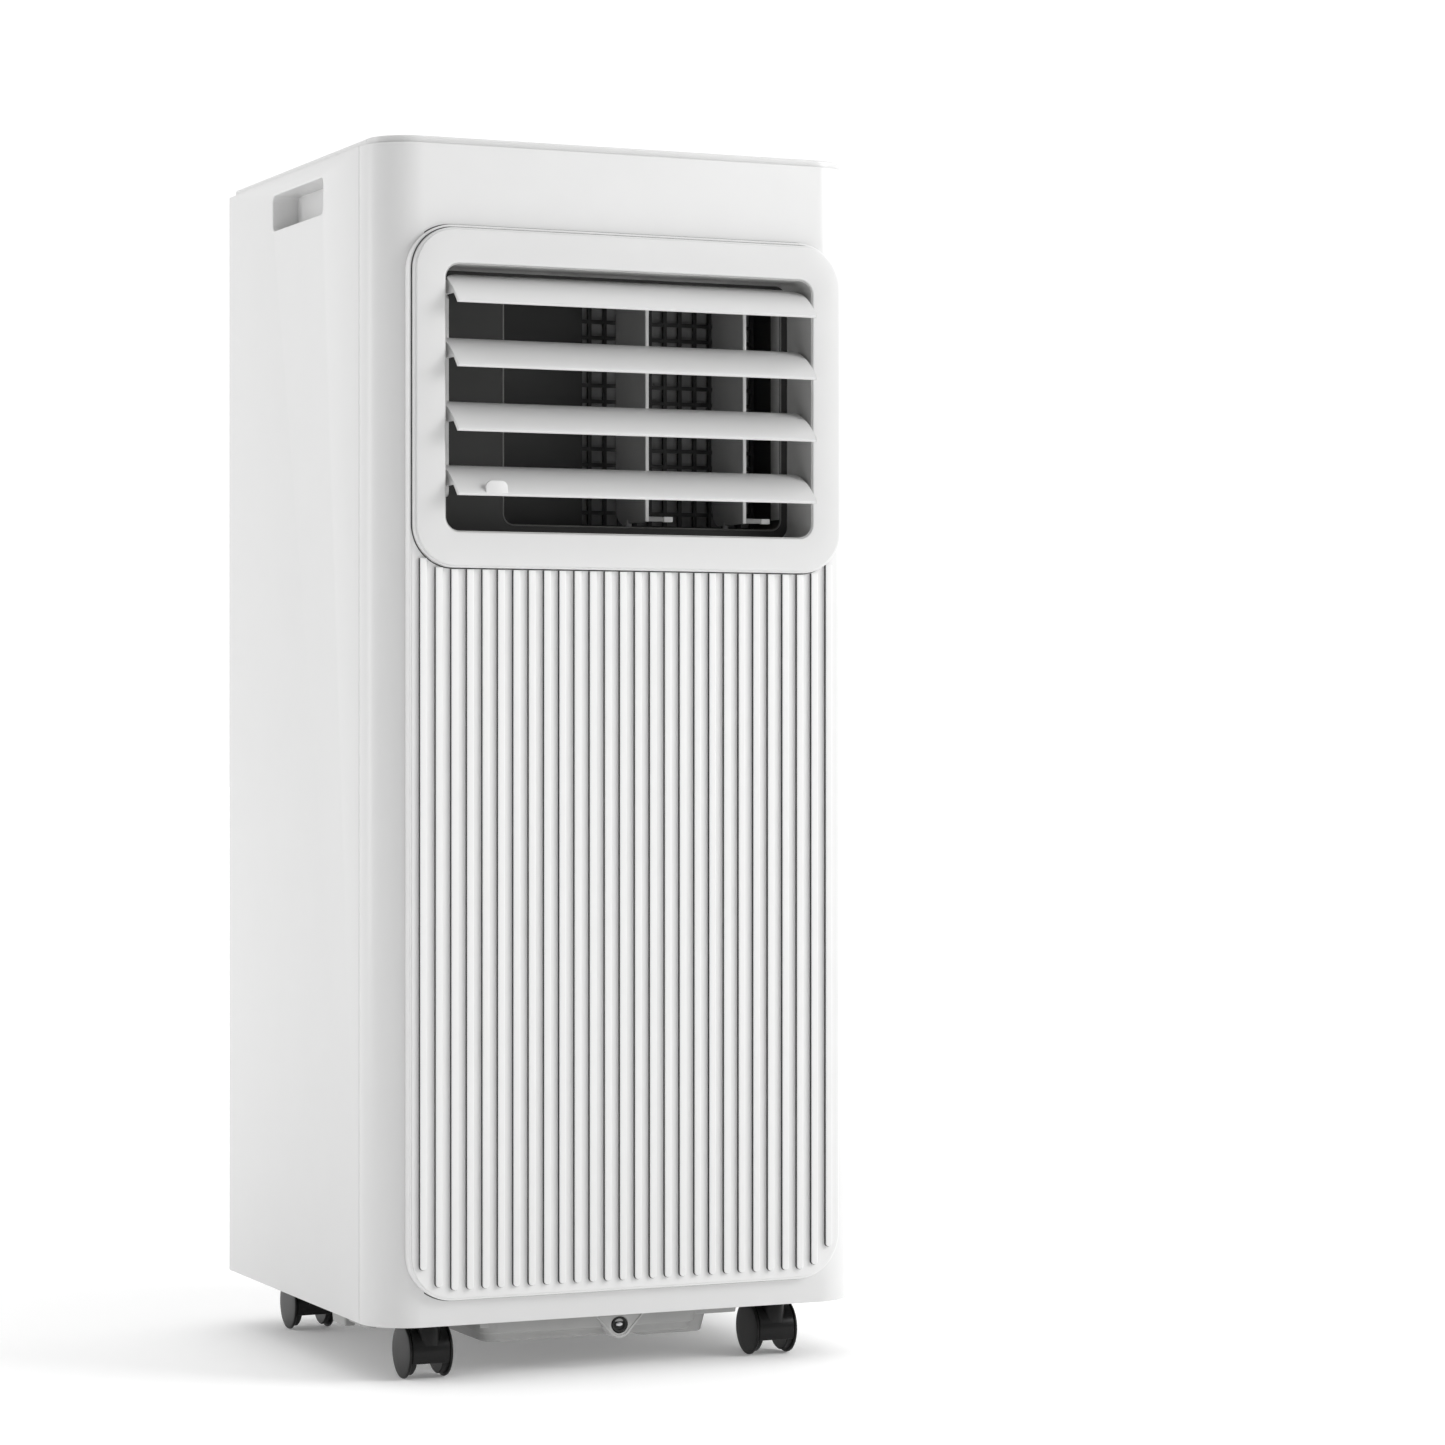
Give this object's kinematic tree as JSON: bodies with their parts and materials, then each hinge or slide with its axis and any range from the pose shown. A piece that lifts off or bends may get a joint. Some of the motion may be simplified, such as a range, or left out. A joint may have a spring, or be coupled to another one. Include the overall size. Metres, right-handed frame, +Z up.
{
  "type": "portable air conditioner",
  "caption": "Tall white cabinet on swivel casters with a ribbed front, a louvered cool-air outlet near the top, side hand grips and a round rear exhaust collar.",
  "frame": {"origin": "on the floor, at the centre of the overall box", "axes": "+Z up, the louvered front faces -Y and the exhaust collar faces +Y, +X to the viewer's right when looking at the front"},
  "size_m": [0.3, 0.317, 0.6975],
  "materials": {
    "white_plastic": "satin moulded",
    "panel_plastic": "satin moulded",
    "base_plastic": "fine moulded grain",
    "duct_plastic": "dull moulded",
    "caster_plastic": "satin moulded",
    "wheel_tread": "dull",
    "rubber": "dull",
    "display_glass": "glossy",
    "button_plastic": "satin moulded",
    "filter_plastic": "satin moulded",
    "steel": "drawn",
    "black_steel": "black enamel",
    "aluminium_fin": "thin bright fins",
    "copper": "drawn copper",
    "foam": "expanded foam",
    "fan_plastic": "moulded",
    "box_steel": "galvanised sheet"
  },
  "bodies": {
    "cabinet": {"front_shell": "white_plastic", "outlet_bezel": "white_plastic", "left_side_panel": "white_plastic", "right_side_panel": "white_plastic", "rear_panel": "white_plastic", "top_cover": "white_plastic", "control_panel": "white_plastic", "ribbed_panel": "panel_plastic", "cord_gland": "rubber", "exhaust_collar": "duct_plastic", "display_window": "display_glass", "outlet_duct": "duct_plastic", "safety_grille": "duct_plastic", "base_pan": "base_plastic", "drip_tray": "base_plastic", "condenser_coil": "aluminium_fin", "evaporator_coil": "aluminium_fin", "evaporator_blower_scroll": "foam", "condenser_blower_scroll": "foam", "evaporator_blower_motor": "black_steel", "condenser_blower_motor": "black_steel", "compressor": "black_steel", "accumulator": "black_steel", "discharge_pipe": "copper", "suction_pipe": "copper", "electrical_box": "box_steel"},
    "louver_1": {"louver_1": "white_plastic"},
    "louver_2": {"louver_2": "white_plastic"},
    "louver_3": {"louver_3": "white_plastic"},
    "louver_4": {"louver_4": "white_plastic"},
    "louver_link": {"louver_link": "white_plastic"},
    "vane_left": {"vane_left": "white_plastic"},
    "vane_right": {"vane_right": "white_plastic"},
    "upper_filter": {"upper_filter": "filter_plastic"},
    "lower_filter": {"lower_filter": "filter_plastic"},
    "drain_plug": {"drain_plug": "rubber"},
    "evaporator_blower_wheel": {"evaporator_blower_wheel": "fan_plastic"},
    "condenser_blower_wheel": {"condenser_blower_wheel": "fan_plastic"},
    "power_button": {"power_button": "button_plastic"},
    "mode_button": {"mode_button": "button_plastic"},
    "fan_button": {"fan_button": "button_plastic"},
    "timer_button": {"timer_button": "button_plastic"},
    "temperature_down_button": {"temperature_down_button": "button_plastic"},
    "temperature_up_button": {"temperature_up_button": "button_plastic"},
    "front_left_caster": {"front_left_caster": "caster_plastic", "front_left_axle": "steel"},
    "front_right_caster": {"front_right_caster": "caster_plastic", "front_right_axle": "steel"},
    "rear_left_caster": {"rear_left_caster": "caster_plastic", "rear_left_axle": "steel"},
    "rear_right_caster": {"rear_right_caster": "caster_plastic", "rear_right_axle": "steel"},
    "front_left_wheel_outer": {"front_left_wheel_outer": "wheel_tread"},
    "front_left_wheel_inner": {"front_left_wheel_inner": "wheel_tread"},
    "front_right_wheel_outer": {"front_right_wheel_outer": "wheel_tread"},
    "front_right_wheel_inner": {"front_right_wheel_inner": "wheel_tread"},
    "rear_left_wheel_outer": {"rear_left_wheel_outer": "wheel_tread"},
    "rear_left_wheel_inner": {"rear_left_wheel_inner": "wheel_tread"},
    "rear_right_wheel_outer": {"rear_right_wheel_outer": "wheel_tread"},
    "rear_right_wheel_inner": {"rear_right_wheel_inner": "wheel_tread"}
  },
  "joints": [
    {"name": "louver_1_tilt", "type": "hinge", "parent": "cabinet", "child": "louver_1", "pos_m": [0, -0.1345, 0.613], "axis": [1, 0, 0], "range_deg": [-20, 45]},
    {"name": "louver_2_tilt", "type": "hinge", "parent": "cabinet", "child": "louver_2", "pos_m": [0, -0.1345, 0.57733], "axis": [1, 0, 0], "range_deg": [-20, 45]},
    {"name": "louver_3_tilt", "type": "hinge", "parent": "cabinet", "child": "louver_3", "pos_m": [0, -0.1345, 0.54167], "axis": [1, 0, 0], "range_deg": [-20, 45]},
    {"name": "louver_4_tilt", "type": "hinge", "parent": "cabinet", "child": "louver_4", "pos_m": [0, -0.1345, 0.506], "axis": [1, 0, 0], "range_deg": [-20, 45]},
    {"name": "louver_link_pivot", "type": "hinge", "parent": "louver_1", "child": "louver_link", "pos_m": [-0.105, -0.12, 0.607], "axis": [1, 0, 0], "range_deg": [-45, 20]},
    {"name": "vane_left_swing", "type": "hinge", "parent": "cabinet", "child": "vane_left", "pos_m": [0.0181, -0.0975, 0.4825], "axis": [0, 0, 1], "range_deg": [-25, 25]},
    {"name": "vane_right_swing", "type": "hinge", "parent": "cabinet", "child": "vane_right", "pos_m": [0.0796, -0.0975, 0.4825], "axis": [0, 0, 1], "range_deg": [-25, 25]},
    {"name": "power_press", "type": "slide", "parent": "cabinet", "child": "power_button", "axis": [0, 0, -1], "range_m": [0, 0.001], "stiffness_N_per_m": 300, "springref_m": -0.0005},
    {"name": "mode_press", "type": "slide", "parent": "cabinet", "child": "mode_button", "axis": [0, 0, -1], "range_m": [0, 0.001], "stiffness_N_per_m": 300, "springref_m": -0.0005},
    {"name": "fan_press", "type": "slide", "parent": "cabinet", "child": "fan_button", "axis": [0, 0, -1], "range_m": [0, 0.001], "stiffness_N_per_m": 300, "springref_m": -0.0005},
    {"name": "timer_press", "type": "slide", "parent": "cabinet", "child": "timer_button", "axis": [0, 0, -1], "range_m": [0, 0.001], "stiffness_N_per_m": 300, "springref_m": -0.0005},
    {"name": "temperature_down_press", "type": "slide", "parent": "cabinet", "child": "temperature_down_button", "axis": [0, 0, -1], "range_m": [0, 0.001], "stiffness_N_per_m": 300, "springref_m": -0.0005},
    {"name": "temperature_up_press", "type": "slide", "parent": "cabinet", "child": "temperature_up_button", "axis": [0, 0, -1], "range_m": [0, 0.001], "stiffness_N_per_m": 300, "springref_m": -0.0005},
    {"name": "front_left_swivel", "type": "hinge", "parent": "cabinet", "child": "front_left_caster", "pos_m": [-0.112, -0.1155, 0.0155], "axis": [0, 0, 1], "continuous": true},
    {"name": "front_left_wheel_outer_roll", "type": "hinge", "parent": "front_left_caster", "child": "front_left_wheel_outer", "pos_m": [-0.112, -0.1065, 0.0155], "axis": [1, 0, 0], "continuous": true},
    {"name": "front_left_wheel_inner_roll", "type": "hinge", "parent": "front_left_caster", "child": "front_left_wheel_inner", "pos_m": [-0.112, -0.1065, 0.0155], "axis": [1, 0, 0], "continuous": true},
    {"name": "front_right_swivel", "type": "hinge", "parent": "cabinet", "child": "front_right_caster", "pos_m": [0.102, -0.1155, 0.0155], "axis": [0, 0, 1], "continuous": true},
    {"name": "front_right_wheel_outer_roll", "type": "hinge", "parent": "front_right_caster", "child": "front_right_wheel_outer", "pos_m": [0.102, -0.1065, 0.0155], "axis": [1, 0, 0], "continuous": true},
    {"name": "front_right_wheel_inner_roll", "type": "hinge", "parent": "front_right_caster", "child": "front_right_wheel_inner", "pos_m": [0.102, -0.1065, 0.0155], "axis": [1, 0, 0], "continuous": true},
    {"name": "rear_left_swivel", "type": "hinge", "parent": "cabinet", "child": "rear_left_caster", "pos_m": [-0.112, 0.0895, 0.0155], "axis": [0, 0, 1], "continuous": true},
    {"name": "rear_left_wheel_outer_roll", "type": "hinge", "parent": "rear_left_caster", "child": "rear_left_wheel_outer", "pos_m": [-0.112, 0.0985, 0.0155], "axis": [1, 0, 0], "continuous": true},
    {"name": "rear_left_wheel_inner_roll", "type": "hinge", "parent": "rear_left_caster", "child": "rear_left_wheel_inner", "pos_m": [-0.112, 0.0985, 0.0155], "axis": [1, 0, 0], "continuous": true},
    {"name": "rear_right_swivel", "type": "hinge", "parent": "cabinet", "child": "rear_right_caster", "pos_m": [0.102, 0.0895, 0.0155], "axis": [0, 0, 1], "continuous": true},
    {"name": "rear_right_wheel_outer_roll", "type": "hinge", "parent": "rear_right_caster", "child": "rear_right_wheel_outer", "pos_m": [0.102, 0.0985, 0.0155], "axis": [1, 0, 0], "continuous": true},
    {"name": "rear_right_wheel_inner_roll", "type": "hinge", "parent": "rear_right_caster", "child": "rear_right_wheel_inner", "pos_m": [0.102, 0.0985, 0.0155], "axis": [1, 0, 0], "continuous": true},
    {"name": "evaporator_blower_spin", "type": "hinge", "parent": "cabinet", "child": "evaporator_blower_wheel", "pos_m": [-0.06, -0.0125, 0.5525], "axis": [1, 0, 0], "continuous": true},
    {"name": "condenser_blower_spin", "type": "hinge", "parent": "cabinet", "child": "condenser_blower_wheel", "pos_m": [0.06, -0.0035, 0.1575], "axis": [0, 1, 0], "continuous": true},
    {"name": "upper_filter_pull", "type": "slide", "parent": "cabinet", "child": "upper_filter", "axis": [0, 1, 0], "range_m": [0, 0.03]},
    {"name": "lower_filter_pull", "type": "slide", "parent": "cabinet", "child": "lower_filter", "axis": [0, 1, 0], "range_m": [0, 0.03]},
    {"name": "drain_plug_pull", "type": "slide", "parent": "cabinet", "child": "drain_plug", "axis": [0, -1, 0], "range_m": [0, 0.012]}
  ],
  "couplings": [
    {"joint": "louver_2_tilt", "follows": "louver_1_tilt", "ratio": 1},
    {"joint": "louver_3_tilt", "follows": "louver_1_tilt", "ratio": 1},
    {"joint": "louver_4_tilt", "follows": "louver_1_tilt", "ratio": 1},
    {"joint": "louver_link_pivot", "follows": "louver_1_tilt", "ratio": -1}
  ]
}
